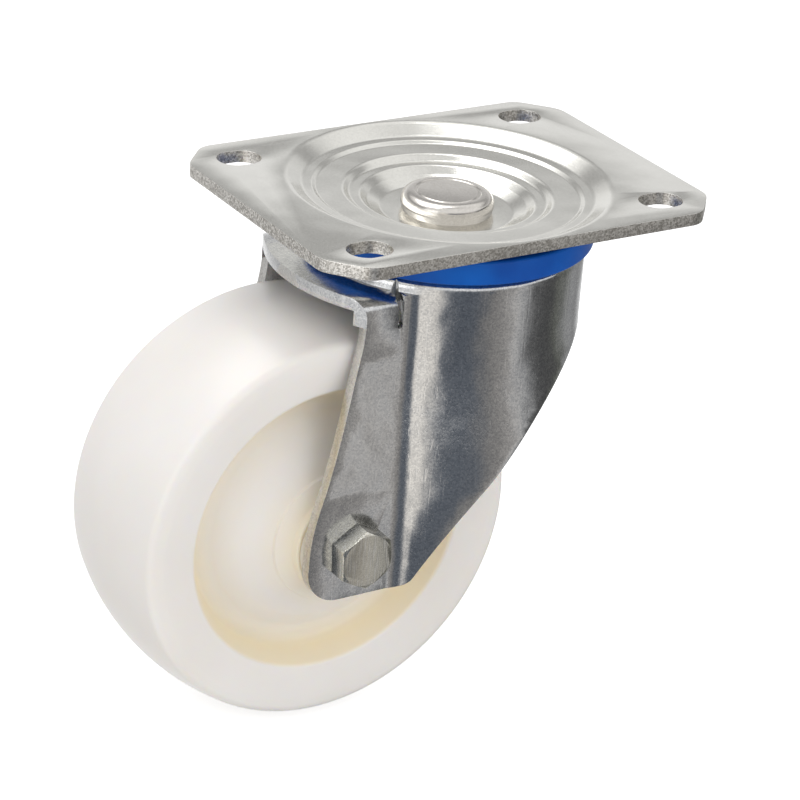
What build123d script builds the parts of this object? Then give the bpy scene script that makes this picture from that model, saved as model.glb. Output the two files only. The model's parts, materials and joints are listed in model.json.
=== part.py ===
from build123d import *
from math import cos, pi, radians, sin, sqrt
import os

# Swivel caster with a rectangular top plate, sizes in millimetres.
# The swivel axis is Z and z = 0 is the top face of the plate. +X runs along the plate's
# long side, and the wheel trails towards -X. The bolt's head is on the -Y side.

# Top plate. Its width follows from the dish and a narrow flat rim beside it
plate_length = 106.0
plate_rim = 0.3
plate_sheet = 3.0
corner_cut_x = 8.0
corner_cut_y = 9.0
corner_soft_r = 3.5
slot_inset_x = 13.0
slot_inset_y = 10.0
slot_length = 11.0
slot_width = 9.0
plate_edge_soft = 0.4

# Round dish pressed into the plate: the widths of its rings and the drops between them
dish_slope_run = 5.1
dish_shelf = 2.4
race_land_outer = 5.2
race_land_inner = 2.5
dish_bend = 1.0
dish_wall_drop = 2.5
dish_land_drop = 0.7
dish_step_drop = 1.4
dish_inner_drop = 1.5
dish_floor_drop = 1.5
dish_floor_margin = 4.8

# King pin, a rivet
pin_head_r = 11.2
pin_head_rise = 4.6
pin_head_soft = 0.9
pin_head_taper = 0.6
pin_head_waist = 1.6
pin_ring_r = 7.6
pin_ring_width = 0.5
pin_ring_depth = 0.15
pin_shank_r = 7.0
pin_shoulder = 1.5
pin_tail_margin = 1.8
pin_tail_height = 3.4
pin_tail_taper = 2.7
pin_fit = 0.05

# Swivel bearing
upper_ball_r = 3.175
upper_pitch_r = 27.0
lower_ball_r = 2.5
lower_pitch_r = 13.5
ball_space = 0.7
race_gap = 0.225
race_depth = 0.25
lower_race_sheet = 2.0
lower_race_rim = 4.9
lower_race_lip = 2.2
lower_lip_rise = 0.75

# Dust seal
seal_overhang = 1.9
seal_gap = 0.3
seal_foot = 0.4
seal_taper = 0.6

# Fork, one pressed sheet
fork_sheet = 3.0
head_rim = 6.6
head_soft = 2.8
ledge_drop = 3.5
ledge_reach = 9.4
ledge_bend_r = 4.5
crown_slope_top = 2.4
crown_slope_foot = 4.0
crown_center_drop = 3.0
crown_hole_gap = 1.0
leg_wheel_gap = 1.2
leg_pad_r = 10.85
flare_start_drop = 11.0
flare_end_rise = 14.1
flare_steps = 6
crease_r = 6.0
slit_offset = 3.2
slit_width = 1.3
slit_length = 11.5
leg_front_drop = 3.6
leg_front_lean = 2.5
leg_front_upper_drop = 17.0
leg_front_lower = (-8.8, 17.6)
leg_front_end = (-12.5, -1.9)
leg_front_heel = 1.2
leg_bottom_drop = 11.8
leg_front_corner_r = 8.5
leg_rear_corner_r = 5.0
skirt_foot_reach = 13.3
skirt_edge_sag = 8.2
skirt_rear_drop = 16.2

# Axle, bolt and nut. The axle trails behind the swivel axis
axle_trail = 38.2
bolt_r = 4.0
bolt_clearance = 0.2
bolt_head_flats = 13.0
bolt_head_height = 5.3
bolt_head_turn = 92.5
bolt_tail = 2.0
bolt_tip_chamfer = 0.6
hex_chamfer = 0.65
hex_flat_inset = 0.1
nut_height = 8.0
nut_collar_height = 1.6
nut_collar_wall = 0.7
nut_collar_chamfer = 0.5
nut_turn = 75.0
insert_wall = 1.0
insert_height = 1.9
insert_cover = 0.3
washer_outer_r = 8.0
washer_thickness = 1.6
thread_fit = 0.02

# Wheel and its roller bearing
wheel_r = 51.2
wheel_top_gap = 5.9
wheel_half = 20.0
tread_drop = 2.6
wheel_shoulder_x = 1.7
wheel_shoulder_drop = 1.6
wheel_side_depth = 6.2
recess_lip_depth = 8.9
recess_lip_drop = 1.1
recess_wall_depth = 4.5
recess_wall_slope = 2.2
recess_wall_foot = 1.0
recess_depth = 9.0
web_rise = 6.0
hub_half = 26.0
hub_wall = 3.9
hub_chamfer = 0.8
hub_shoulder = 2.0
tube_wall = 1.8
roller_r = 1.5
roller_length = 34.0
roller_count = 8
roller_gap = 0.15
cage_half_wall = 0.75
cage_rim = 2.5
cage_pocket_gap = 0.2
hub_washer_thickness = 1.5
hub_washer_gap = 0.3
hub_washer_fit = 0.05

# How far a cutting form stands past what it cuts
cut_margin = 1.0

# Dish radii and depths, from the ball race in the plate outwards and inwards
dish_step_r = upper_pitch_r - race_land_inner
dish_ring_r = upper_pitch_r + race_land_outer
dish_wall_r = dish_ring_r + dish_shelf
dish_rim_r = dish_wall_r + dish_slope_run
dish_floor_r = pin_head_r + dish_floor_margin
dish_inner_r = (dish_floor_r + dish_step_r) / 2
dish_land = -dish_wall_drop - dish_land_drop
dish_step = dish_land - dish_step_drop
dish_inner = dish_step - dish_inner_drop
dish_floor = dish_inner - dish_floor_drop
half_length = plate_length / 2
half_width = dish_rim_r + plate_rim
slot_spacing_x = plate_length - 2 * slot_inset_x
slot_spacing_y = 2 * (half_width - slot_inset_y)

# Levels from the plate down to the wheel
plate_underside = dish_land - plate_sheet
upper_race_r = upper_ball_r + race_gap
head_top = plate_underside - 2 * (upper_race_r - race_depth)
head_underside = head_top - fork_sheet
upper_ball_z = (plate_underside + head_top) / 2
ledge_top = head_top - ledge_drop
ledge_underside = ledge_top - fork_sheet
crown_center = head_top - crown_center_drop
crown_center_underside = crown_center - fork_sheet
lower_groove_r = lower_ball_r + race_gap
lower_ball_z = crown_center_underside - lower_groove_r
lower_seat = lower_ball_z - lower_groove_r + lower_race_sheet
axle_x = -axle_trail
axle_z = ledge_underside - wheel_top_gap - wheel_r
flare_start = ledge_underside - flare_start_drop
flare_end = axle_z + flare_end_rise
leg_bottom = axle_z - leg_bottom_drop
fork_floor = leg_bottom - 4 * cut_margin

# Radii and widths of the swivel parts and the fork
pin_neck_r = pin_shank_r - pin_shoulder
pin_tail_r = lower_pitch_r - lower_groove_r - pin_tail_margin
lower_race_r = lower_pitch_r + lower_race_rim
head_r = upper_pitch_r + head_rim
ledge_front_r = head_r + ledge_reach
crown_slope_outer_r = upper_pitch_r - crown_slope_top
crown_slope_inner_r = lower_pitch_r + crown_slope_foot
crown_hole_r = pin_shank_r + crown_hole_gap
leg_top_half = wheel_half + leg_wheel_gap + fork_sheet
leg_inner_half = hub_half + hub_washer_gap + hub_washer_thickness
leg_outer_half = leg_inner_half + fork_sheet
leg_flare = leg_outer_half - leg_top_half
skirt_bottom_r = sqrt(leg_outer_half**2 + (axle_trail - leg_pad_r) ** 2)
slit_x = -sqrt(head_r**2 - leg_top_half**2) - slit_offset
leg_front_top = (-sqrt(ledge_front_r**2 - leg_top_half**2), ledge_underside - leg_front_drop)

# Radii and widths of the bolt, the nut and the bearing in the hub
bolt_hole_r = bolt_r + bolt_clearance
tube_outer_r = bolt_hole_r + tube_wall
insert_outer_r = bolt_r + insert_wall
nut_collar_r = insert_outer_r + nut_collar_wall
nut_seat = leg_outer_half + washer_thickness
nut_end = nut_seat + nut_height
nut_hex_end = nut_end - nut_collar_height
insert_start = nut_end - insert_cover - insert_height
roller_pitch_r = tube_outer_r + roller_gap + roller_r
hub_bore_r = roller_pitch_r + roller_r + roller_gap
hub_r = hub_bore_r + hub_wall
hub_washer_r = hub_r - hub_chamfer
axle_line = Axis((axle_x, 0, axle_z), (0, 1, 0))
axle_plane = Plane.YZ.offset(axle_x)

os.makedirs("parts", exist_ok=True)


# Writes one finished piece under its name
def keep(piece, name):
    piece.part.label = name
    export_step(piece.part, "parts/" + name + ".step")


# Share of the flare that is reached at a level, from 0 above it to 1 below it
def flare_share(level):
    share = (flare_start - level) / (flare_start - flare_end)
    share = min(max(share, 0.0), 1.0)
    return 3 * share**2 - 2 * share**3


# Plan section of the fork at a level, drawn smaller by the inset: two flat legs that run
# into the round skirt, with a hollow crease between them
def fork_section(level, inset):
    share = flare_share(level)
    half = leg_top_half + leg_flare * share - inset
    bulge = head_r + (skirt_bottom_r - head_r) * share - inset
    crease_x = -sqrt(bulge**2 - half**2)
    front_x = -2 * head_r
    with BuildSketch(Plane.XY.offset(level)) as section:
        with BuildLine():
            Polyline((crease_x, -half), (front_x, -half), (front_x, half), (crease_x, half))
            ThreePointArc((crease_x, half), (bulge, 0), (crease_x, -half))
        make_face()
        fillet(section.vertices().group_by(Axis.X)[-1], crease_r + inset)
    return section.sketch


# The fork's form, smaller by the inset: straight down to the flare, a smooth loft through
# it, and straight again below, so that the bolt's seats are flat
def fork_form(top, bottom, inset, mode):
    flare_height = flare_start - flare_end
    levels = [flare_start - flare_height * step / flare_steps for step in range(flare_steps + 1)]
    extrude(fork_section(top, inset), amount=flare_start - top, mode=mode)
    loft([fork_section(level, inset) for level in levels], mode=mode)
    extrude(fork_section(flare_end, inset), amount=bottom - flare_end, mode=mode)


# Top plate: outline, pressed dish with the groove of the ball race below, then the slots
with BuildPart() as top_plate:
    with BuildSketch() as plate_outline:
        with BuildLine():
            Polyline(
                (half_length, half_width - corner_cut_y),
                (half_length - corner_cut_x, half_width),
                (corner_cut_x - half_length, half_width),
                (-half_length, half_width - corner_cut_y),
                (-half_length, corner_cut_y - half_width),
                (corner_cut_x - half_length, -half_width),
                (half_length - corner_cut_x, -half_width),
                (half_length, corner_cut_y - half_width),
                close=True,
            )
        make_face()
        fillet(plate_outline.vertices(), corner_soft_r)
    extrude(amount=-plate_sheet)
    chamfer(top_plate.faces().sort_by(Axis.Z)[-1].outer_wire().edges(), plate_edge_soft)
    with BuildSketch():
        Circle(dish_rim_r)
    extrude(amount=-plate_sheet, mode=Mode.SUBTRACT)
    with BuildSketch(Plane.XZ) as dish_section:
        dish_top = [
            (dish_rim_r, 0),
            (dish_rim_r - dish_bend, 0),
            (dish_wall_r, -dish_wall_drop),
            (dish_ring_r, -dish_wall_drop),
            (dish_ring_r - dish_bend / 2, dish_land),
            (dish_step_r, dish_land),
            (dish_step_r - dish_bend, dish_step),
            (dish_inner_r, dish_step),
            (dish_inner_r - dish_bend, dish_inner),
            (dish_floor_r, dish_floor),
            (pin_shank_r + pin_fit, dish_floor),
        ]
        dish_bottom = [(r, z - plate_sheet) for r, z in reversed(dish_top)]
        with BuildLine():
            Polyline(*dish_top, *dish_bottom, close=True)
        make_face()
        with Locations((upper_pitch_r, upper_ball_z)):
            Circle(upper_race_r, mode=Mode.SUBTRACT)
    revolve(axis=Axis.Z)
    with BuildSketch():
        with GridLocations(slot_spacing_x, slot_spacing_y, 2, 2):
            SlotOverall(slot_length, slot_width)
    extrude(amount=dish_land - plate_sheet, mode=Mode.SUBTRACT)
keep(top_plate, "top_plate")

# King pin: head on the dish floor, shoulder on the lower race, tail spread over it
with BuildPart() as king_pin:
    head_level = dish_floor + pin_head_rise
    tail_level = lower_seat - lower_race_sheet
    with BuildSketch(Plane.XZ) as pin_section:
        with BuildLine():
            Polyline(
                (0, head_level),
                (pin_head_r - pin_head_taper, head_level),
                (pin_head_r, dish_floor + pin_head_waist),
                (pin_head_r - pin_head_taper / 2, dish_floor),
                (pin_shank_r, dish_floor),
                (pin_shank_r, lower_seat),
                (pin_neck_r, lower_seat),
                (pin_neck_r, tail_level),
                (pin_tail_r, tail_level),
                (pin_tail_r - pin_tail_taper, tail_level - pin_tail_height),
                (0, tail_level - pin_tail_height),
                close=True,
            )
        make_face()
        head_corner = pin_section.vertices().sort_by_distance((pin_head_r, head_level, 0))[0]
        chamfer(head_corner, pin_head_soft)
    revolve(axis=Axis.Z)
    with BuildSketch(Plane.XY.offset(head_level)):
        Circle(pin_ring_r + pin_ring_width / 2)
        Circle(pin_ring_r - pin_ring_width / 2, mode=Mode.SUBTRACT)
    extrude(amount=-pin_ring_depth, mode=Mode.SUBTRACT)
keep(king_pin, "king_pin")

# Lower race, a cup that the king pin clamps, with an eight sided groove for its balls
with BuildPart() as lower_race:
    cup_bottom = lower_ball_z - lower_groove_r - lower_race_sheet
    lip_height = lower_ball_z + lower_lip_rise - lower_seat
    with BuildSketch(Plane.XZ) as race_section:
        with BuildLine():
            Polyline(
                (pin_neck_r + pin_fit, lower_seat),
                (lower_race_r, lower_seat),
                (lower_race_r, cup_bottom + lower_race_lip),
                (lower_race_r - lower_race_lip, cup_bottom),
                (lower_pitch_r - lower_groove_r, cup_bottom),
                (pin_tail_r + pin_fit, lower_seat - lower_race_sheet),
                (pin_neck_r + pin_fit, lower_seat - lower_race_sheet),
                close=True,
            )
        make_face()
        with Locations((lower_race_r - lower_race_lip / 2, lower_seat + lip_height / 2)):
            Rectangle(lower_race_lip, lip_height)
        with Locations((lower_pitch_r, lower_ball_z)):
            RegularPolygon(lower_groove_r, 8, major_radius=False, rotation=22.5, mode=Mode.SUBTRACT)
    revolve(axis=Axis.Z)
keep(lower_race, "lower_race")

# Loose balls of the two bearings, each kept plain: a cube with its edges cut back until it
# has 26 faces whose corners all lie on the ball
ball_face = 2 / sqrt(5 + 2 * sqrt(2))
ball_cube = ball_face * (1 + sqrt(2))
ball_cut = (ball_cube - ball_face) / 2


# As many balls as fit on a pitch circle with the space between them
def ball_count(pitch_r, ball_r):
    return int(2 * pi * pitch_r / (2 * ball_r + ball_space))


with BuildPart(Plane.XY.offset(upper_ball_z)) as upper_balls:
    with PolarLocations(upper_pitch_r, ball_count(upper_pitch_r, upper_ball_r)):
        Box(ball_cube * upper_ball_r, ball_cube * upper_ball_r, ball_cube * upper_ball_r)
    chamfer(upper_balls.edges(), ball_cut * upper_ball_r)
keep(upper_balls, "upper_balls")

with BuildPart(Plane.XY.offset(lower_ball_z)) as lower_balls:
    with PolarLocations(lower_pitch_r, ball_count(lower_pitch_r, lower_ball_r)):
        Box(ball_cube * lower_ball_r, ball_cube * lower_ball_r, ball_cube * lower_ball_r)
    chamfer(lower_balls.edges(), ball_cut * lower_ball_r)
keep(lower_balls, "lower_balls")

# Dust seal: a ring that stands on the fork's head, close outside the balls
with BuildPart() as dust_seal:
    seal_inner_r = upper_pitch_r + upper_ball_r + seal_gap
    seal_outer_r = head_r + seal_overhang
    seal_top = plate_underside - seal_gap
    with BuildSketch(Plane.XZ) as seal_section:
        with BuildLine():
            Polyline(
                (seal_inner_r, head_top),
                (seal_inner_r + seal_foot, head_top),
                (seal_inner_r + seal_foot, head_top + seal_gap),
                (seal_outer_r, head_top + seal_gap),
                (seal_outer_r - seal_taper, seal_top),
                (seal_inner_r, seal_top),
                close=True,
            )
        make_face()
        chamfer(seal_section.vertices().group_by(Axis.X)[-1], seal_foot)
    revolve(axis=Axis.Z)
keep(dust_seal, "dust_seal")

# Fork: round head, ledge, two flared legs and the skirt that joins them behind
with BuildPart() as fork:
    cut_reach = 2 * head_r
    fork_form(ledge_top, fork_floor, 0, Mode.ADD)
    with BuildSketch(Plane.XZ) as head_section:
        with BuildLine():
            Polyline(
                (0, ledge_underside),
                (head_r, ledge_underside),
                (head_r, head_top),
                (0, head_top),
                close=True,
            )
        make_face()
        fillet(head_section.vertices().sort_by_distance((head_r, head_top, 0))[0], head_soft)
    revolve(axis=Axis.Z)
    # Round bend between the ledge and each leg
    with BuildSketch(Plane.YZ.offset(slit_x)):
        bend_y = leg_top_half - ledge_bend_r
        bend_z = ledge_top - ledge_bend_r
        for side in (-1, 1):
            with Locations((side * (bend_y + cut_reach / 2), bend_z + cut_reach / 2)):
                Rectangle(cut_reach, cut_reach)
        for side in (-1, 1):
            with Locations((side * bend_y, bend_z)):
                Circle(ledge_bend_r, mode=Mode.SUBTRACT)
        with Locations((0, ledge_top + cut_reach)):
            Rectangle(4 * cut_reach, 2 * cut_reach, mode=Mode.SUBTRACT)
    extrude(amount=-cut_reach, mode=Mode.SUBTRACT)
    # Hollow under the sheet, in the form's own shape and under the round head
    fork_form(ledge_underside, fork_floor - cut_margin, fork_sheet, Mode.SUBTRACT)
    with BuildSketch(Plane.XZ):
        with BuildLine():
            Polyline(
                (0, ledge_underside - cut_margin),
                (0, crown_center_underside),
                (crown_slope_inner_r, crown_center_underside),
                (crown_slope_outer_r, head_underside),
                (head_r - fork_sheet, head_underside),
                (head_r - fork_sheet, ledge_underside - cut_margin),
                close=True,
            )
        make_face()
    revolve(axis=Axis.Z, mode=Mode.SUBTRACT)
    # Sunk crown with its hole, and the groove of the ball race around it
    with BuildSketch(Plane.XZ):
        with BuildLine():
            Polyline(
                (0, head_top + cut_margin),
                (0, crown_center),
                (crown_slope_inner_r, crown_center),
                (crown_slope_outer_r, head_top),
                (crown_slope_outer_r, head_top + cut_margin),
                close=True,
            )
        make_face()
        with Locations((upper_pitch_r, upper_ball_z)):
            Circle(upper_race_r)
    revolve(axis=Axis.Z, mode=Mode.SUBTRACT)
    with BuildSketch(Plane.XY.offset(head_top)):
        Circle(crown_hole_r)
    extrude(amount=ledge_underside - head_top, mode=Mode.SUBTRACT)
    # Round front edge of the ledge
    with BuildSketch(Plane.XY.offset(leg_front_top[1])):
        with Locations((slit_x - cut_reach, 0)):
            Rectangle(2 * cut_reach, 2 * cut_reach)
        Circle(ledge_front_r, mode=Mode.SUBTRACT)
    extrude(amount=head_top - leg_front_top[1], mode=Mode.SUBTRACT)
    # Outline of the legs and the skirt, seen from the side
    front_upper = (leg_front_top[0] - leg_front_lean, ledge_underside - leg_front_upper_drop)
    front_lower = (axle_x + leg_front_lower[0], axle_z + leg_front_lower[1])
    front_end = (axle_x + leg_front_end[0], axle_z + leg_front_end[1])
    skirt_foot = (axle_x + skirt_foot_reach, leg_bottom)
    skirt_rear = (head_r, head_top - skirt_rear_drop)
    with BuildSketch(Plane.XZ) as side_outline:
        with BuildLine():
            Polyline(
                skirt_rear,
                (cut_reach, skirt_rear[1]),
                (cut_reach, head_top),
                (-cut_reach, head_top),
                (-cut_reach, leg_front_top[1]),
                leg_front_top,
            )
            Spline(leg_front_top, front_upper, front_lower, front_end)
            Polyline(front_end, (front_end[0] - leg_front_heel, leg_bottom), skirt_foot)
            SagittaArc(skirt_foot, skirt_rear, skirt_edge_sag)
        make_face()
        bottom_points = side_outline.vertices().group_by(Axis.Y)[0].sort_by(Axis.X)
        fillet(bottom_points[0], leg_front_corner_r)
        bottom_points = side_outline.vertices().group_by(Axis.Y)[0].sort_by(Axis.X)
        fillet(bottom_points[-1], leg_rear_corner_r)
    extrude(amount=cut_reach, both=True, mode=Mode.INTERSECT)
    # Slit at each side between the ledge and the skirt, and the bolt's holes
    for side in (-1, 1):
        with BuildSketch(Plane.XZ.offset(side * (leg_top_half - fork_sheet - cut_margin))):
            with Locations((slit_x, head_top - slit_length / 2)):
                SlotOverall(slit_length, slit_width, rotation=90)
        extrude(amount=side * (fork_sheet + 2 * cut_margin), mode=Mode.SUBTRACT)
    with BuildSketch(Plane.XZ):
        with Locations((axle_x, axle_z)):
            Circle(bolt_hole_r)
    extrude(amount=cut_reach, both=True, mode=Mode.SUBTRACT)
keep(fork, "fork")


# Round profile that gives a hexagon the chamfer at its outer end
def hex_turning(start, end, flats):
    outside = flats / sqrt(3) + hex_flat_inset
    inwards = hex_chamfer if end < start else -hex_chamfer
    with BuildSketch(axle_plane) as turning:
        with BuildLine():
            Polyline(
                (start, axle_z),
                (start, axle_z + outside),
                (end + inwards, axle_z + outside),
                (end, axle_z + flats / 2 - hex_flat_inset),
                (end, axle_z),
                close=True,
            )
        make_face()
    revolve(turning.sketch, axis=axle_line, mode=Mode.INTERSECT)


# Axle bolt with its hexagon head on the near leg
with BuildPart() as axle_bolt:
    with BuildSketch(Plane.XZ.offset(leg_outer_half)):
        with Locations((axle_x, axle_z)):
            RegularPolygon(bolt_head_flats / 2, 6, major_radius=False, rotation=bolt_head_turn)
    extrude(amount=bolt_head_height)
    hex_turning(-leg_outer_half, -leg_outer_half - bolt_head_height, bolt_head_flats)
    with BuildSketch(Plane.XZ.offset(leg_outer_half)):
        with Locations((axle_x, axle_z)):
            Circle(bolt_r)
    extrude(amount=-leg_outer_half - nut_end - bolt_tail)
    chamfer(axle_bolt.faces().sort_by(Axis.Y)[-1].edges(), bolt_tip_chamfer)
keep(axle_bolt, "axle_bolt")

# Washer and lock nut on the far leg
with BuildPart() as nut_washer:
    with BuildSketch(Plane.XZ.offset(-leg_outer_half)):
        with Locations((axle_x, axle_z)):
            Circle(washer_outer_r)
            Circle(bolt_hole_r, mode=Mode.SUBTRACT)
    extrude(amount=-washer_thickness)
keep(nut_washer, "nut_washer")

with BuildPart() as lock_nut:
    with BuildSketch(Plane.XZ.offset(-nut_seat)):
        with Locations((axle_x, axle_z)):
            RegularPolygon(bolt_head_flats / 2, 6, major_radius=False, rotation=nut_turn)
    extrude(amount=nut_seat - nut_hex_end)
    hex_turning(nut_seat, nut_hex_end, bolt_head_flats)
    with BuildSketch(Plane.XZ.offset(-nut_hex_end)):
        with Locations((axle_x, axle_z)):
            Circle(nut_collar_r)
    extrude(amount=-nut_collar_height)
    chamfer(lock_nut.faces().sort_by(Axis.Y)[-1].edges(), nut_collar_chamfer)
    with BuildSketch(Plane.XZ.offset(-nut_seat)):
        with Locations((axle_x, axle_z)):
            Circle(bolt_r + thread_fit)
    extrude(amount=-nut_height, mode=Mode.SUBTRACT)
    with BuildSketch(Plane.XZ.offset(-insert_start)):
        with Locations((axle_x, axle_z)):
            Circle(insert_outer_r + thread_fit)
    extrude(amount=-insert_height, mode=Mode.SUBTRACT)
keep(lock_nut, "lock_nut")

with BuildPart() as nut_insert:
    with BuildSketch(Plane.XZ.offset(-insert_start)):
        with Locations((axle_x, axle_z)):
            Circle(insert_outer_r)
            Circle(bolt_r + thread_fit, mode=Mode.SUBTRACT)
    extrude(amount=-insert_height)
keep(nut_insert, "nut_insert")

# Tube that the bolt clamps between the legs
with BuildPart() as axle_tube:
    with BuildSketch(Plane.XZ.offset(-leg_inner_half)):
        with Locations((axle_x, axle_z)):
            Circle(tube_outer_r)
            Circle(bolt_hole_r, mode=Mode.SUBTRACT)
    extrude(amount=2 * leg_inner_half)
keep(axle_tube, "axle_tube")

# Spacer washers between the hub and the legs
for name, side in (("hub_washer_near", 1), ("hub_washer_far", -1)):
    with BuildPart() as hub_washer:
        with BuildSketch(Plane.XZ.offset(side * leg_inner_half)):
            with Locations((axle_x, axle_z)):
                Circle(hub_washer_r)
                Circle(tube_outer_r + hub_washer_fit, mode=Mode.SUBTRACT)
        extrude(amount=-side * hub_washer_thickness)
    keep(hub_washer, name)

# Roller cage with one pocket for each roller
with BuildPart() as roller_cage:
    pocket_half = roller_length / 2 + cage_pocket_gap
    with BuildSketch(Plane.XZ.offset(-pocket_half - cage_rim)):
        with Locations((axle_x, axle_z)):
            Circle(roller_pitch_r + cage_half_wall)
            Circle(roller_pitch_r - cage_half_wall, mode=Mode.SUBTRACT)
    extrude(amount=2 * (pocket_half + cage_rim))
    with BuildSketch(Plane.XZ.offset(-pocket_half)):
        with Locations((axle_x, axle_z)):
            with PolarLocations(roller_pitch_r, roller_count):
                Rectangle(4 * cage_half_wall, 2 * (roller_r + cage_pocket_gap))
    extrude(amount=2 * pocket_half, mode=Mode.SUBTRACT)
keep(roller_cage, "roller_cage")

# Rollers around the tube
for index in range(roller_count):
    angle = radians(index * 360 / roller_count)
    roller_x = axle_x + roller_pitch_r * cos(angle)
    roller_z = axle_z + roller_pitch_r * sin(angle)
    with BuildPart() as roller:
        with BuildSketch(Plane.XZ.offset(-roller_length / 2)):
            with Locations((roller_x, roller_z)):
                Circle(roller_r)
        extrude(amount=roller_length)
    keep(roller, "roller_" + str(index + 1))

# Wheel: crowned tread, recess on each side, web that rises to the hub. One half of the
# section is drawn and turned about the axle, then mirrored
with BuildPart() as wheel:
    tread_half = wheel_half - wheel_shoulder_x
    shoulder_r = wheel_r - tread_drop
    lip_r = wheel_r - wheel_side_depth - recess_lip_depth
    floor_r = lip_r - recess_wall_depth
    floor_half = wheel_half - recess_depth
    web_points = [
        (floor_half, axle_z + floor_r),
        (floor_half + web_rise, axle_z + (floor_r + hub_r) / 2),
        (hub_half - hub_shoulder, axle_z + hub_r),
    ]
    with BuildSketch(axle_plane) as wheel_section:
        with BuildLine():
            Line((0, axle_z + hub_bore_r), (0, axle_z + wheel_r))
            ThreePointArc(
                (0, axle_z + wheel_r),
                (tread_half / 2, axle_z + wheel_r - tread_drop / 4),
                (tread_half, axle_z + shoulder_r),
            )
            Polyline(
                (tread_half, axle_z + shoulder_r),
                (wheel_half, axle_z + shoulder_r - wheel_shoulder_drop),
                (wheel_half, axle_z + wheel_r - wheel_side_depth),
                (wheel_half - recess_lip_drop, axle_z + lip_r),
                (floor_half + recess_wall_foot, axle_z + lip_r - recess_wall_slope),
                web_points[0],
            )
            Spline(*web_points)
            Polyline(
                web_points[-1],
                (hub_half, axle_z + hub_r - hub_chamfer),
                (hub_half, axle_z + hub_bore_r),
                (0, axle_z + hub_bore_r),
            )
        make_face()
    revolve(axis=axle_line)
    mirror(about=Plane.XZ)
keep(wheel, "wheel")
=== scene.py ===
import json
import math

import bpy
from mathutils import Euler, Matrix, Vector


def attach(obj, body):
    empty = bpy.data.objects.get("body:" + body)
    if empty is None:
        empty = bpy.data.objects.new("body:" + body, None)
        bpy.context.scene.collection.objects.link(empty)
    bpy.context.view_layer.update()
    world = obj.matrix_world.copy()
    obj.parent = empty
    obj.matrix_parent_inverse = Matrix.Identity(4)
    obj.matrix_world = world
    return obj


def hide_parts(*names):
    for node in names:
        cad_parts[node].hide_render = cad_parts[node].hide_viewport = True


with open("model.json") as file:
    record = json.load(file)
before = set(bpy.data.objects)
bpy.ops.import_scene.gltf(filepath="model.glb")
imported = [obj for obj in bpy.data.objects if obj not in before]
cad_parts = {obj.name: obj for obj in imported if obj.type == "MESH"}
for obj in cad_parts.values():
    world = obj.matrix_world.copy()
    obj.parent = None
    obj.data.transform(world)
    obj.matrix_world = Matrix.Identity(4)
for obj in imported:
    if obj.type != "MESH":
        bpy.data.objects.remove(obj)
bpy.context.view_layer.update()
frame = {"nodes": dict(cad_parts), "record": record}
print("stage: frame loaded")

mm = 0.001
axleX = -0.0382  # the wheel's axle runs along Y through this point
axleZ = -0.0761


# Object mode with nothing selected
def deselectAll():
    if bpy.context.object and bpy.context.object.mode != "OBJECT":
        bpy.ops.object.mode_set(mode="OBJECT")
    bpy.ops.object.select_all(action="DESELECT")


def makeActive(piece):
    deselectAll()
    piece.select_set(True)
    bpy.context.view_layer.objects.active = piece


def startEditing(piece):
    makeActive(piece)
    bpy.ops.object.mode_set(mode="EDIT")
    bpy.ops.mesh.select_all(action="SELECT")


# Puts the place into the mesh, so that the object sits at the origin, unturned
def settle(piece, name):
    makeActive(piece)
    bpy.ops.object.transform_apply(location=True, rotation=True, scale=True)
    piece.name = name
    piece.data.name = name
    return piece


def applyModifiers(piece):
    makeActive(piece)
    for modifier in list(piece.modifiers):
        bpy.ops.object.modifier_apply(modifier=modifier.name)


def smoothShade(piece, degrees):
    makeActive(piece)
    bpy.ops.object.shade_smooth_by_angle(angle=math.radians(degrees))


def softenEdges(piece, width, segments, degrees):
    modifier = piece.modifiers.new("softEdges", "BEVEL")
    modifier.width = width
    modifier.segments = segments
    modifier.limit_method = "ANGLE"
    modifier.angle_limit = math.radians(degrees)
    modifier.harden_normals = False
    applyModifiers(piece)


# Rounds the corners of a profile given as (radius, height, corner radius), in millimetres
def roundProfile(corners, steps=5):
    points = []
    for index, (r, h, soft) in enumerate(corners):
        here = Vector((r, h))
        if soft == 0 or index in (0, len(corners) - 1):
            points.append(here)
            continue
        before = (Vector(corners[index - 1][:2]) - here).normalized()
        after = (Vector(corners[index + 1][:2]) - here).normalized()
        half = before.angle(after) / 2
        reach = soft / math.tan(half)
        start = here + before * reach
        end = here + after * reach
        center = here + (before + after).normalized() * soft / math.sin(half)
        fromAngle = math.atan2(*(start - center).yx)
        turn = math.atan2(*(end - center).yx) - fromAngle
        turn = (turn + math.pi) % (2 * math.pi) - math.pi
        for step in range(steps + 1):
            angle = fromAngle + turn * step / steps
            points.append(center + soft * Vector((math.cos(angle), math.sin(angle))))
    return points


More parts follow.
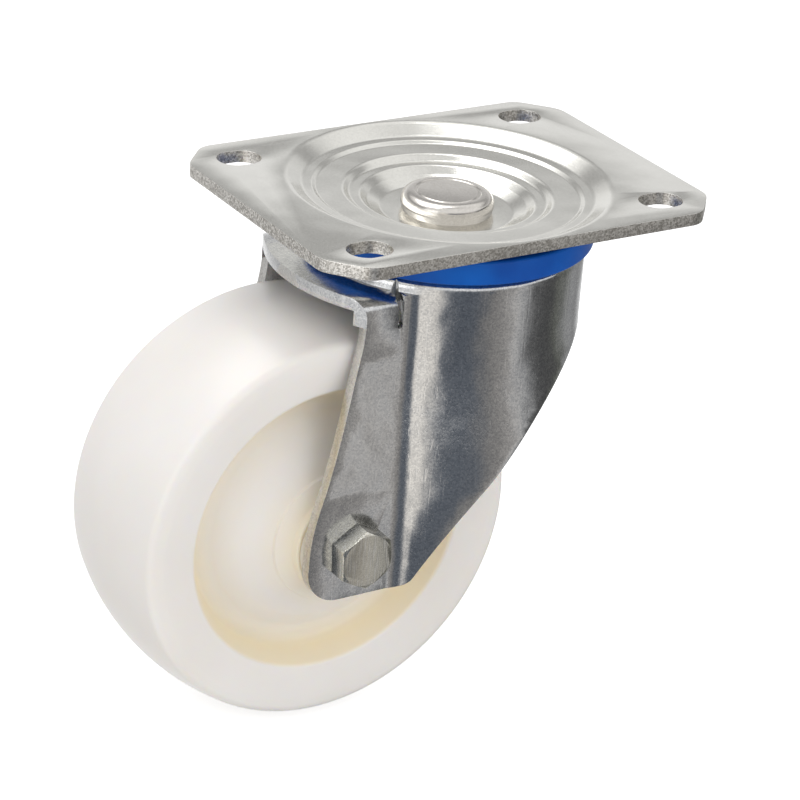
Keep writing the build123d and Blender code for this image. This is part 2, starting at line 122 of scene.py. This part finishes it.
# Turns a profile about the swivel axis or about the axle. A profile point is (radius, height)
# in millimetres, and the height runs along the axis
def turnProfile(name, points, steps, aboutAxle=False):
    def place(point):
        if aboutAxle:
            return Vector((axleX, point[1] * mm, axleZ + point[0] * mm))
        return Vector((point[0] * mm, 0, point[1] * mm))

    places = [place(point) for point in points]
    deselectAll()
    bpy.ops.mesh.primitive_plane_add(size=mm, location=places[0])
    piece = bpy.context.object
    bpy.ops.object.mode_set(mode="EDIT")
    bpy.ops.mesh.merge(type="CENTER")
    for here, following in zip(places, places[1:]):
        bpy.ops.mesh.extrude_region_move(TRANSFORM_OT_translate={"value": following - here})
    bpy.ops.mesh.select_all(action="SELECT")
    center = (axleX, 0, axleZ) if aboutAxle else (0, 0, 0)
    axis = (0, 1, 0) if aboutAxle else (0, 0, 1)
    bpy.ops.mesh.spin(steps=steps, angle=2 * math.pi, center=center, axis=axis)
    bpy.ops.mesh.select_all(action="SELECT")
    bpy.ops.mesh.remove_doubles(threshold=0.002 * mm)
    bpy.ops.mesh.normals_make_consistent(inside=False)
    return settle(piece, name)


# A merged copy of a CAD node, ready for soft edges and smooth shading
def copyNode(node, name):
    source = frame["nodes"][node]
    piece = bpy.data.objects.new(name, source.data.copy())
    bpy.context.scene.collection.objects.link(piece)
    piece.data.materials.clear()
    startEditing(piece)
    bpy.ops.mesh.remove_doubles(threshold=0.001 * mm)
    bpy.ops.mesh.customdata_custom_splitnormals_clear()
    return settle(piece, name)


def bodyOf(node):
    return next(body for body, nodes in frame["record"]["behaviour"]["bodies"].items() if node in nodes)


# Hands a finished piece over: it stands for its CAD node and rides on that node's body
def standFor(piece, node, *materials):
    piece.data.materials.clear()
    for material in materials:
        piece.data.materials.append(material)
    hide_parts(node)
    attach(piece, bodyOf(node))


# Node helpers for materials and groups
def addNode(tree, kind, inputs=None, **settings):
    node = tree.nodes.new(kind)
    for key, value in settings.items():
        setattr(node, key, value)
    for key, value in (inputs or {}).items():
        if isinstance(value, bpy.types.NodeSocket):
            tree.links.new(value, node.inputs[key])
        else:
            node.inputs[key].default_value = value
    return node


def addMath(tree, operation, first, second=0.0, clamp=False):
    node = addNode(tree, "ShaderNodeMath", {0: first, 1: second}, operation=operation, use_clamp=clamp)
    return node.outputs[0]


def addNoise(tree, place, scale, detail, **more):
    inputs = {"Vector": place, "Scale": scale, "Detail": detail, **more}
    return addNode(tree, "ShaderNodeTexNoise", inputs).outputs[0]


# Colour ramp with a list of (position, colour) stops; a single number stands for a grey
def addStops(tree, value, stops):
    node = addNode(tree, "ShaderNodeValToRGB", {0: value})
    ramp = node.color_ramp
    while len(ramp.elements) < len(stops):
        ramp.elements.new(0.5)
    for element, (position, color) in zip(ramp.elements, stops):
        element.position = position
        element.color = color if isinstance(color, tuple) else (color, color, color, 1)
    return node.outputs[0]


def mixColor(tree, share, first, second):
    node = addNode(tree, "ShaderNodeMix", data_type="RGBA")
    for key, value in ((0, share), (6, first), (7, second)):
        if isinstance(value, bpy.types.NodeSocket):
            tree.links.new(value, node.inputs[key])
        else:
            node.inputs[key].default_value = value
    return node.outputs[2]


def newGroup(name, inputs, outputs):
    group = bpy.data.node_groups.new(name, "ShaderNodeTree")
    for label, kind, value in inputs:
        socket = group.interface.new_socket(label, in_out="INPUT", socket_type=kind)
        if value is not None:
            socket.default_value = value
    for label, kind in outputs:
        group.interface.new_socket(label, in_out="OUTPUT", socket_type=kind)
    return group, group.nodes.new("NodeGroupInput"), group.nodes.new("NodeGroupOutput")


def newMaterial(name, constants):
    material = bpy.data.materials.new(name)
    material.use_nodes = True
    shader = material.node_tree.nodes["Principled BSDF"]
    for key, value in constants.items():
        shader.inputs[key].default_value = value
    place = addNode(material.node_tree, "ShaderNodeTexCoord").outputs["Object"]
    return material, material.node_tree, shader, place


# Mottled zinc: cloudy patches, fine crystals and pits, as a tint, a roughness and a height
def buildZincGrain():
    group, given, result = newGroup(
        "zincGrain",
        [("Place", "NodeSocketVector", None), ("Patch", "NodeSocketFloat", 60.0),
         ("Crystal", "NodeSocketFloat", 1100.0), ("Contrast", "NodeSocketFloat", 0.5)],
        [("Tint", "NodeSocketFloat"), ("Rough", "NodeSocketFloat"), ("Height", "NodeSocketFloat")],
    )
    place = given.outputs["Place"]
    patch = addNoise(group, place, given.outputs["Patch"], 4.0, Roughness=0.6)
    crystal = addNoise(group, place, given.outputs["Crystal"], 3.0, Roughness=0.65)
    flakes = addNode(group, "ShaderNodeTexVoronoi", {"Vector": place, "Scale": given.outputs["Crystal"]},
                     feature="F1").outputs["Color"]
    flake = addNode(group, "ShaderNodeSeparateColor", {0: flakes}).outputs[0]
    crystalPart = addMath(group, "MULTIPLY", crystal, 0.6)
    mixed = addMath(group, "ADD", crystalPart, addMath(group, "MULTIPLY", flake, 0.4))
    centered = addMath(group, "MULTIPLY", addMath(group, "SUBTRACT", mixed, 0.5), given.outputs["Contrast"])
    cloudy = addMath(group, "MULTIPLY", addMath(group, "SUBTRACT", patch, 0.5), 0.7)
    tint = addMath(group, "ADD", addMath(group, "ADD", centered, cloudy), 0.5, clamp=True)
    rough = addMath(group, "ADD", addMath(group, "MULTIPLY", centered, 0.8), 0.5, clamp=True)
    group.links.new(tint, result.inputs["Tint"])
    group.links.new(rough, result.inputs["Rough"])
    group.links.new(mixed, result.inputs["Height"])
    return group


# Long faint lines along one direction, such as drawing marks and scratches
def buildScratches():
    group, given, result = newGroup(
        "scratches",
        [("Place", "NodeSocketVector", None), ("Stretch", "NodeSocketVector", (1.0, 1.0, 1.0)),
         ("Cut", "NodeSocketFloat", 0.62)],
        [("Lines", "NodeSocketFloat")],
    )
    factors = {0: given.outputs["Place"], 1: given.outputs["Stretch"]}
    stretched = addNode(group, "ShaderNodeVectorMath", factors, operation="MULTIPLY").outputs[0]
    noise = addNoise(group, stretched, 1.0, 2.0)
    above = addMath(group, "SUBTRACT", noise, given.outputs["Cut"])
    group.links.new(addMath(group, "MULTIPLY", above, 8.0, clamp=True), result.inputs["Lines"])
    return group


zincGrain = buildZincGrain()
scratches = buildScratches()


# Zinc plated steel in two tints, with its grain and its scratches
def makeZinc(name, look):
    material, tree, shader, place = newMaterial(name, {"Metallic": 1.0})
    grain = addNode(tree, "ShaderNodeGroup", node_tree=zincGrain)
    lines = addNode(tree, "ShaderNodeGroup", node_tree=scratches)
    tree.links.new(place, grain.inputs["Place"])
    tree.links.new(place, lines.inputs["Place"])
    for key in ("patch", "crystal", "contrast"):
        grain.inputs[key.capitalize()].default_value = look[key]
    lines.inputs["Stretch"].default_value = look["stretch"]
    lines.inputs["Cut"].default_value = look["cut"]
    base = addStops(tree, grain.outputs["Tint"], [(0.2, look["dark"]), (0.8, look["light"])])
    lineShare = addMath(tree, "MULTIPLY", lines.outputs["Lines"], look["lineShare"])
    color = mixColor(tree, lineShare, base, look["line"])
    tree.links.new(color, shader.inputs["Base Color"])
    spread = addMath(tree, "MULTIPLY", grain.outputs["Rough"], look["roughSpread"])
    tree.links.new(addMath(tree, "ADD", spread, look["rough"]), shader.inputs["Roughness"])
    swell = addNoise(tree, place, look["wave"], 1.0)  # slow waves of pressed sheet
    slow = addNode(tree, "ShaderNodeBump", {"Strength": 1.0, "Distance": look["waveDepth"], "Height": swell})
    marks = addNode(tree, "ShaderNodeBump", {"Strength": look["lineShare"], "Distance": -0.02 * mm,
                    "Height": lines.outputs["Lines"], "Normal": slow.outputs[0]})
    bump = addNode(tree, "ShaderNodeBump", {"Strength": look["bump"], "Distance": look["bumpDepth"],
                   "Height": grain.outputs["Height"], "Normal": marks.outputs[0]})
    tree.links.new(bump.outputs[0], shader.inputs["Normal"])
    return material


plateZincLook = {
    "dark": (0.65, 0.64, 0.60, 1), "light": (0.86, 0.85, 0.81, 1), "patch": 28.0, "crystal": 3200.0,
    "contrast": 0.35, "stretch": (120.0, 2200.0, 2200.0), "cut": 0.68, "lineShare": 0.25,
    "line": (0.88, 0.87, 0.85, 1), "rough": 0.13, "roughSpread": 0.14,
    "bump": 0.12, "bumpDepth": 0.03 * mm, "wave": 70.0, "waveDepth": 0.25 * mm,
}
forkZincLook = {
    "dark": (0.42, 0.43, 0.45, 1), "light": (0.86, 0.86, 0.85, 1), "patch": 26.0, "crystal": 2600.0,
    "contrast": 0.7, "stretch": (1300.0, 1300.0, 30.0), "cut": 0.6, "lineShare": 0.4,
    "line": (0.9, 0.9, 0.9, 1), "rough": 0.1, "roughSpread": 0.12,
    "bump": 0.35, "bumpDepth": 0.03 * mm, "wave": 130.0, "waveDepth": 0.28 * mm,
}
cutEdgeLook = dict(forkZincLook, dark=(0.5, 0.49, 0.47, 1), light=(0.88, 0.865, 0.83, 1), rough=0.24)
boltZincLook = dict(plateZincLook, dark=(0.5, 0.48, 0.42, 1), light=(0.88, 0.86, 0.77, 1),
                    contrast=0.5, rough=0.16, stretch=(2600.0, 2600.0, 160.0), cut=0.5, lineShare=0.5)
pinZincLook = dict(plateZincLook, dark=(0.5, 0.475, 0.44, 1), light=(0.76, 0.73, 0.69, 1), rough=0.12)
plateEdgeLook = dict(plateZincLook, dark=(0.44, 0.42, 0.385, 1), light=(0.96, 0.935, 0.89, 1),
                     crystal=2600.0, contrast=1.7, rough=0.34, bump=0.5)
plateZinc = makeZinc("plateZinc", plateZincLook)
forkZinc = makeZinc("forkZinc", forkZincLook)
cutEdge = makeZinc("cutEdge", cutEdgeLook)
boltZinc = makeZinc("boltZinc", boltZincLook)
pinZinc = makeZinc("pinZinc", pinZincLook)
plateEdge = makeZinc("plateEdge", plateEdgeLook)


# Blue moulded seal, off-white wheel with painted shade and a painted glow in its recess, and small plain
# parts
def makePlastic(name, look):
    constants = {"Roughness": look["rough"], "IOR": 1.5, "Specular IOR Level": look.get("shine", 0.5)}
    if "scatter" in look:
        constants["Subsurface Weight"] = look["scatter"]
        constants["Subsurface Radius"] = look["radius"]
        constants["Subsurface Scale"] = look["depth"]
    material, tree, shader, place = newMaterial(name, constants)
    cloud = addNoise(tree, place, look["patch"], 3.0)
    base = addStops(tree, cloud, [(0.3, look["dark"]), (0.7, look["light"])])
    if "rings" in look:  # painted shade: an ochre tint set by the distance from the axle, in the recess and near the hub, with a painted glow of light coming through
        kind = "ShaderNodeVectorMath"
        fromAxle = addNode(tree, kind, {0: place, 1: (axleX, 0, axleZ)}, operation="SUBTRACT").outputs[0]
        radial = addNode(tree, kind, {0: fromAxle, 1: (1, 0, 1)}, operation="MULTIPLY").outputs[0]
        reach = addNode(tree, kind, {0: radial}, operation="LENGTH").outputs["Value"]
        share = addStops(tree, addMath(tree, "DIVIDE", reach, look["ringSpan"]), look["rings"])
        base = mixColor(tree, share, base, look["paintedShadeOchre"])
        # painted light: the same ochre share makes the wheel glow, though it is no lamp
        shader.inputs["Emission Strength"].default_value = look["paintedGlow"]
        paintedGlowColor = mixColor(tree, share, (0, 0, 0, 1), look["paintedShadeOchre"])
        tree.links.new(paintedGlowColor, shader.inputs["Emission Color"])
    tree.links.new(base, shader.inputs["Base Color"])
    fine = addNoise(tree, place, look["fine"], 2.0)
    depth = 0.03 * mm
    bump = addNode(tree, "ShaderNodeBump", {"Strength": look["bump"], "Distance": depth, "Height": fine})
    tree.links.new(bump.outputs[0], shader.inputs["Normal"])
    return material


sealLook = {"dark": (0.002, 0.07, 0.36, 1), "light": (0.003, 0.12, 0.52, 1), "patch": 60.0, "fine": 900.0,
            "bump": 0.15, "rough": 0.38, "shine": 0.2}
# the wheel's ochre and its stops are painted shade in the recess under the lip and near the hub, and its
# glow is painted light
wheelLook = {
    "dark": (0.86, 0.825, 0.785, 1), "light": (0.9, 0.875, 0.85, 1), "patch": 25.0, "fine": 500.0,
    "bump": 0.08, "rough": 0.3, "scatter": 0.3, "radius": (1.0, 0.7, 0.35), "depth": 0.004,
    "paintedShadeOchre": (0.84, 0.68, 0.34, 1), "ringSpan": 0.0512, "paintedGlow": 0.1,
    "rings": [(0.22, 0.5), (0.3, 0.2), (0.4, 0.0), (0.53, 0.02), (0.6, 0.25), (0.66, 0.55), (0.7, 0.45),
              (0.715, 0.0)],
}
cageLook = {"dark": (0.02, 0.02, 0.022, 1), "light": (0.04, 0.04, 0.042, 1), "patch": 60.0, "fine": 900.0,
            "bump": 0.1, "rough": 0.45}
washerLook = {"dark": (0.62, 0.58, 0.5, 1), "light": (0.72, 0.68, 0.6, 1), "patch": 60.0, "fine": 900.0,
              "bump": 0.1, "rough": 0.45}
sealBlue = makePlastic("sealBlue", sealLook)
wheelWhite = makePlastic("wheelWhite", wheelLook)
cagePlastic = makePlastic("cagePlastic", cageLook)
washerPlastic = makePlastic("washerPlastic", washerLook)
print("stage: materials made")

# Fork: the CAD sheet with its cut edges softened and a lighter finish on them
forkSize = {"edgeSoft": 0.4, "edgeAngle": 40, "smoothAngle": 32, "cutBelow": -24.0, "cutAhead": -34.0}


def makeFork():
    piece = copyNode("fork", "forkSheet")
    softenEdges(piece, forkSize["edgeSoft"] * mm, 2, forkSize["edgeAngle"])
    smoothShade(piece, forkSize["smoothAngle"])
    standFor(piece, "fork", forkZinc, cutEdge)
    for face in piece.data.polygons:
        flat = abs(face.normal.y) < 0.1
        facesDown = face.normal.z < -0.1 and face.center.z < forkSize["cutBelow"] * mm
        facesFront = face.normal.x < -0.6 and face.center.x < forkSize["cutAhead"] * mm
        face.material_index = 1 if flat and (facesDown or facesFront) else 0


makeFork()

# Wheel: half of its section from the hub's bore out to the lip and the tread, then mirrored
wheelSize = {
    "steps": 192, "treadR": 51.2, "treadDrop": 2.6, "treadHalf": 18.3, "treadRows": 15,
    "side": [
        (9.3, 26.0, 0), (12.9, 26.0, 0.7), (13.4, 24.2, 0.8), (16.6, 21.9, 0.4), (16.9, 21.2, 0.4),
        (23.8, 16.3, 9.0), (28.4, 12.0, 3.5), (32.5, 10.9, 2.6), (36.1, 18.9, 1.5), (44.5, 19.9, 5.0),
        (48.2, 19.9, 2.4), (48.9, 17.2, 0),
    ],
}


def makeWheel():
    half = roundProfile(wheelSize["side"])
    for h in range(wheelSize["treadRows"], 0, -1):  # the tread is slightly crowned
        drop = wheelSize["treadDrop"] * (h / wheelSize["treadHalf"]) ** 2
        half.append(Vector((wheelSize["treadR"] - drop, h)))
    middle = [Vector((wheelSize["treadR"], 0))]
    mirrored = [Vector((point.x, -point.y)) for point in reversed(half)]
    section = half + middle + mirrored + half[:1]
    piece = turnProfile("wheelBody", section, wheelSize["steps"], aboutAxle=True)
    smoothShade(piece, 50)
    standFor(piece, "wheel", wheelWhite)


# Top plate: flat rim cut from a curve, and the pressed dish turned about the swivel axis
plateSize = {
    "halfLength": 53.0, "halfWidth": 40.0, "cut": (8.0, 9.0), "cornerR": 6.0,
    "slot": (40.0, 30.0, 11.0, 9.0),  # centre along X and Y, length, width
    "rimR": 39.7, "slotSteps": 32, "sheet": 3.0, "steps": 192, "edgeSoft": 0.4,
    "dish": [
        (39.7, 0.0, 0), (38.6, 0.0, 3.0), (34.7, -2.45, 2.2), (32.4, -2.55, 1.0), (31.4, -3.2, 1.0),
        (25.0, -3.2, 1.6), (23.4, -4.6, 1.4), (20.9, -4.6, 1.4), (19.0, -6.1, 1.6), (15.9, -7.6, 1.6),
        (7.05, -7.6, 0),
    ],
}


def plateOutline():
    x, y = plateSize["halfLength"], plateSize["halfWidth"]
    cutX, cutY = plateSize["cut"]
    soft = plateSize["cornerR"]
    corners = [(x, y - cutY, soft), (x - cutX, y, soft), (cutX - x, y, soft), (-x, y - cutY, soft),
               (-x, cutY - y, soft), (cutX - x, -y, soft), (x - cutX, -y, soft), (x, cutY - y, soft)]
    return roundProfile([(x, 0, 0)] + corners + [(x, -1, 0)], 8)


def slotOutline(signX, signY):
    x, y, length, width = plateSize["slot"]
    steps = plateSize["slotSteps"]
    points = []
    for step in range(steps):
        angle = 2 * math.pi * (step + 0.5) / steps
        reach = (length - width) / 2 * (1 if math.cos(angle) > 0 else -1)
        across = signX * x + reach + width / 2 * math.cos(angle)
        points.append(Vector((across, signY * y + width / 2 * math.sin(angle))))
    return points


def makePlate():
    rim = plateSize["rimR"]
    steps = plateSize["steps"]
    turns = [2 * math.pi * step / steps for step in range(steps)]
    outlines = [plateOutline(), [Vector((rim * math.cos(turn), rim * math.sin(turn))) for turn in turns]]
    outlines += [slotOutline(signX, signY) for signX in (-1, 1) for signY in (-1, 1)]
    curve = bpy.data.curves.new("plateRim", "CURVE")
    curve.dimensions = "2D"
    curve.fill_mode = "BOTH"
    for outline in outlines:
        spline = curve.splines.new("POLY")
        spline.points.add(len(outline) - 1)
        for spot, point in zip(spline.points, outline):
            spot.co = (point.x * mm, point.y * mm, 0, 1)
        spline.use_cyclic_u = True
    flat = bpy.data.objects.new("plateRim", curve)
    bpy.context.scene.collection.objects.link(flat)
    makeActive(flat)
    bpy.ops.object.convert(target="MESH")
    flat = bpy.context.object
    startEditing(flat)
    bpy.ops.mesh.extrude_region_move(TRANSFORM_OT_translate={"value": (0, 0, -plateSize["sheet"] * mm)})
    bpy.ops.mesh.select_all(action="SELECT")
    bpy.ops.mesh.remove_doubles(threshold=0.001 * mm)
    bpy.ops.mesh.normals_make_consistent(inside=False)
    bpy.ops.mesh.select_mode(type="FACE")
    bpy.ops.mesh.select_all(action="DESELECT")
    bpy.ops.object.mode_set(mode="OBJECT")
    for face in flat.data.polygons:
        face.select = abs(face.normal.z) < 0.5 and abs(face.center.xy.length - rim * mm) < 0.1 * mm
    bpy.ops.object.mode_set(mode="EDIT")
    bpy.ops.mesh.delete(type="FACE")
    bpy.ops.mesh.select_mode(type="VERT")
    top = roundProfile(plateSize["dish"], 6)
    bottom = [Vector((point.x, point.y - plateSize["sheet"])) for point in reversed(top)]
    dish = turnProfile("plateDish", top + bottom, steps)
    makeActive(flat)
    dish.select_set(True)
    bpy.ops.object.join()
    startEditing(flat)
    bpy.ops.mesh.remove_doubles(threshold=0.01 * mm)
    bpy.ops.mesh.normals_make_consistent(inside=False)
    piece = settle(flat, "plateSheet")
    softenEdges(piece, plateSize["edgeSoft"] * mm, 3, 60)
    smoothShade(piece, 40)
    standFor(piece, "top_plate", plateZinc, plateEdge)
    for face in piece.data.polygons:
        steep = abs(face.normal.z) < 0.35
        face.material_index = 1 if steep and face.center.xy.length > (rim + 0.15) * mm else 0


# King pin, with the fine ring that its rivet tool leaves, and the seal below the plate
pinSize = {"steps": 96, "profile": [
    (0.02, -3.0, 0), (7.2, -3.0, 0.2), (7.4, -3.18, 0.1), (7.8, -3.18, 0.1), (8.0, -3.0, 0.2),
    (10.8, -3.05, 2.1), (11.2, -5.9, 1.6), (10.7, -7.6, 0), (7.0, -7.6, 0), (7.0, -21.9, 0),
    (5.5, -21.9, 0), (5.5, -23.9, 0), (8.9, -23.9, 0.4), (6.3, -27.35, 0.6), (0.02, -27.35, 0),
]}
sealSize = {"steps": 144, "profile": [
    (30.5, -12.5, 0), (30.9, -12.5, 0), (30.9, -12.2, 0), (35.5, -12.2, 0.7), (35.1, -6.5, 0.8),
    (30.5, -6.5, 0.3), (30.5, -12.5, 0),
]}


def makePin():
    piece = turnProfile("pinRivet", roundProfile(pinSize["profile"]), pinSize["steps"])
    smoothShade(piece, 40)
    standFor(piece, "king_pin", pinZinc)


def makeSeal():
    piece = turnProfile("sealRing", roundProfile(sealSize["profile"]), sealSize["steps"])
    smoothShade(piece, 40)
    standFor(piece, "dust_seal", sealBlue)


makeWheel()
makePlate()
makePin()
makeSeal()
print("stage: wheel, plate, pin and seal made")

# Small parts that keep their CAD form, with soft edges
for node, finish, soft in (
    ("lower_race", pinZinc, 0.2), ("axle_bolt", boltZinc, 0.25), ("nut_washer", boltZinc, 0.15),
    ("lock_nut", boltZinc, 0.15), ("axle_tube", pinZinc, 0.0), ("hub_washer_near", washerPlastic, 0.1),
    ("hub_washer_far", washerPlastic, 0.1),
):
    piece = copyNode(node, node + "_dressed")
    if soft:
        softenEdges(piece, soft * mm, 2, 28)
    smoothShade(piece, 35)
    standFor(piece, node, finish)

# Balls, rollers, cage and nut insert stay as they are in the CAD and only get their materials
for node, source in frame["nodes"].items():
    if not source.hide_render:
        for slot in source.material_slots:
            slot.material = cagePlastic if "cage" in node or "insert" in node else pinZinc
print("stage: pieces made")

# Floor, light and camera
stageLook = {"floorLevel": -0.1274, "floorColor": (0.8, 0.8, 0.795, 1), "lift": 0.62}


def makeStage():
    deselectAll()
    bpy.ops.mesh.primitive_plane_add(size=6, location=(0, 0, stageLook["floorLevel"]))
    floor = bpy.context.object
    floor.name = "paleFloor"
    material = bpy.data.materials.new("paleFloor")
    material.use_nodes = True
    tree = material.node_tree
    tree.nodes.clear()
    diffuse = addNode(tree, "ShaderNodeBsdfDiffuse", {"Color": stageLook["floorColor"]})
    path = addNode(tree, "ShaderNodeLightPath")
    lift = addMath(tree, "MULTIPLY", path.outputs["Is Camera Ray"], stageLook["lift"])
    bright = addNode(tree, "ShaderNodeEmission", {"Color": (1, 1, 1, 1), "Strength": lift})
    both = addNode(tree, "ShaderNodeAddShader", {0: diffuse.outputs[0], 1: bright.outputs[0]})
    result = addNode(tree, "ShaderNodeOutputMaterial")
    tree.links.new(both.outputs[0], result.inputs[0])
    floor.data.materials.append(material)
    floor.visible_glossy = False  # the metal mirrors the cards of the world instead


# What the metal mirrors: pale and dark cards stand around the object up to a low height, and
# above them the room. "around" runs once around the object, starting at -X and going over -Y,
# +X and +Y, and "above" runs from the horizon to straight up. "low" and "high" light the rest
worldLook = {
    "around": [(0.0, 0.8), (0.1, 0.85), (0.125, (1.0, 0.96, 0.9, 1)), (0.15, (0.98, 0.93, 0.86, 1)),
               (0.17, (0.24, 0.255, 0.28, 1)), (0.185, (0.12, 0.135, 0.16, 1)),
               (0.24, (0.135, 0.15, 0.175, 1)),
               (0.275, (0.27, 0.26, 0.25, 1)), (0.32, (0.38, 0.365, 0.35, 1)), (0.332, (0.6, 0.58, 0.56, 1)),
               (0.352, 0.5), (0.388, 0.11), (0.435, 0.09), (0.47, (0.16, 0.165, 0.145, 1)), (0.53, 0.4),
               (0.56, 0.26), (0.62, 0.8), (0.7, 1.0), (0.8, 0.55), (0.9, 0.6), (1.0, 0.8)],
    "above": [(0.0, 0.5), (0.2, 0.9), (0.27, 0.98), (0.33, 0.7), (0.39, 0.62), (0.44, 0.4), (0.52, 0.34),
              (0.6, 0.75), (0.66, 1.0), (0.85, 1.0), (1.0, 0.7)],
    "low": (0.68, 0.605, 0.53, 1), "high": (0.6, 0.6, 0.605, 1),
}


def makeWorld():
    world = bpy.data.worlds.new("studio")
    bpy.context.scene.world = world
    world.use_nodes = True
    tree = world.node_tree
    tree.nodes.clear()
    way = addNode(tree, "ShaderNodeTexCoord").outputs["Generated"]
    split = addNode(tree, "ShaderNodeSeparateXYZ", {0: way})
    turn = addMath(tree, "ARCTAN2", split.outputs[1], split.outputs[0])
    share = addMath(tree, "ADD", addMath(tree, "DIVIDE", turn, 2 * math.pi), 0.5)
    around = addStops(tree, share, worldLook["around"])
    above = addStops(tree, split.outputs[2], worldLook["above"])
    # the cards reach higher in front of the object, but never past "over"
    front = addMath(tree, "MULTIPLY", addMath(tree, "MINIMUM", split.outputs[1], 0.0), 4.0)
    lifted = addMath(tree, "ADD", addMath(tree, "MULTIPLY", split.outputs[2], 5.0), front)
    over = addMath(tree, "MAXIMUM", addMath(tree, "SUBTRACT", split.outputs[2], 0.28), 0.0)
    steep = addMath(tree, "MULTIPLY", over, 30.0)
    height = addMath(tree, "SUBTRACT", addMath(tree, "ADD", lifted, steep), 0.7, clamp=True)
    cards = mixColor(tree, height, around, above)
    # white ceiling in front of the object, above the cards
    ahead = addMath(tree, "MULTIPLY", addMath(tree, "ADD", split.outputs[1], 0.1), -4.0, clamp=True)
    ceiling = addMath(tree, "MULTIPLY", ahead, addMath(tree, "MULTIPLY", over, 8.0, clamp=True))
    mirrored = mixColor(tree, ceiling, cards, (1, 1, 1, 1))
    level = addMath(tree, "ADD", addMath(tree, "MULTIPLY", split.outputs[2], 1.5), 0.6, clamp=True)
    diffuse = mixColor(tree, level, worldLook["low"], worldLook["high"])
    path = addNode(tree, "ShaderNodeLightPath")
    plain = mixColor(tree, path.outputs["Is Glossy Ray"], diffuse, mirrored)
    color = mixColor(tree, path.outputs["Is Camera Ray"], plain, (1, 1, 1, 1))
    room = addNode(tree, "ShaderNodeBackground", {"Color": color, "Strength": 1.0})
    result = addNode(tree, "ShaderNodeOutputWorld")
    tree.links.new(room.outputs[0], result.inputs[0])


def addLamp(name, place, target, size, power):
    deselectAll()
    bpy.ops.object.light_add(type="AREA", location=place)
    lamp = bpy.context.object
    lamp.name = name
    lamp.data.shape = "RECTANGLE"
    lamp.data.size, lamp.data.size_y = size
    lamp.data.energy = power
    lamp.rotation_euler = (Vector(target) - Vector(place)).to_track_quat("-Z", "Y").to_euler()
    return lamp


cameraPlace = {
    "location": (-0.38018, -0.55952, 0.26041), "degrees": (64.692, -4.132, -31.618), "lens": 137.99,
}


def makeCamera():
    deselectAll()
    bpy.ops.object.camera_add(location=cameraPlace["location"])
    camera = bpy.context.object
    camera.rotation_euler = Euler([math.radians(turn) for turn in cameraPlace["degrees"]])
    camera.data.lens = cameraPlace["lens"]
    camera.data.sensor_width = 36
    camera.data.clip_start = 0.01
    bpy.context.scene.camera = camera


makeStage()
makeWorld()
middle = (-0.02, 0, -0.06)
addLamp("topSoftbox", (-0.15, 0.25, 0.7), middle, (0.7, 0.5), 2.9)
addLamp("leftSoftbox", (-0.8, -0.25, 0.2), middle, (0.5, 0.6), 0.8)
frontLamp = addLamp("frontSoftbox", (0.1, -0.9, 0.25), middle, (0.9, 0.6), 2.4)
frontLamp.visible_glossy = False  # its square mirror image on the fork would look wrong
makeCamera()
bpy.context.scene.view_settings.view_transform = "Standard"
print("stage: floor, light and camera made")
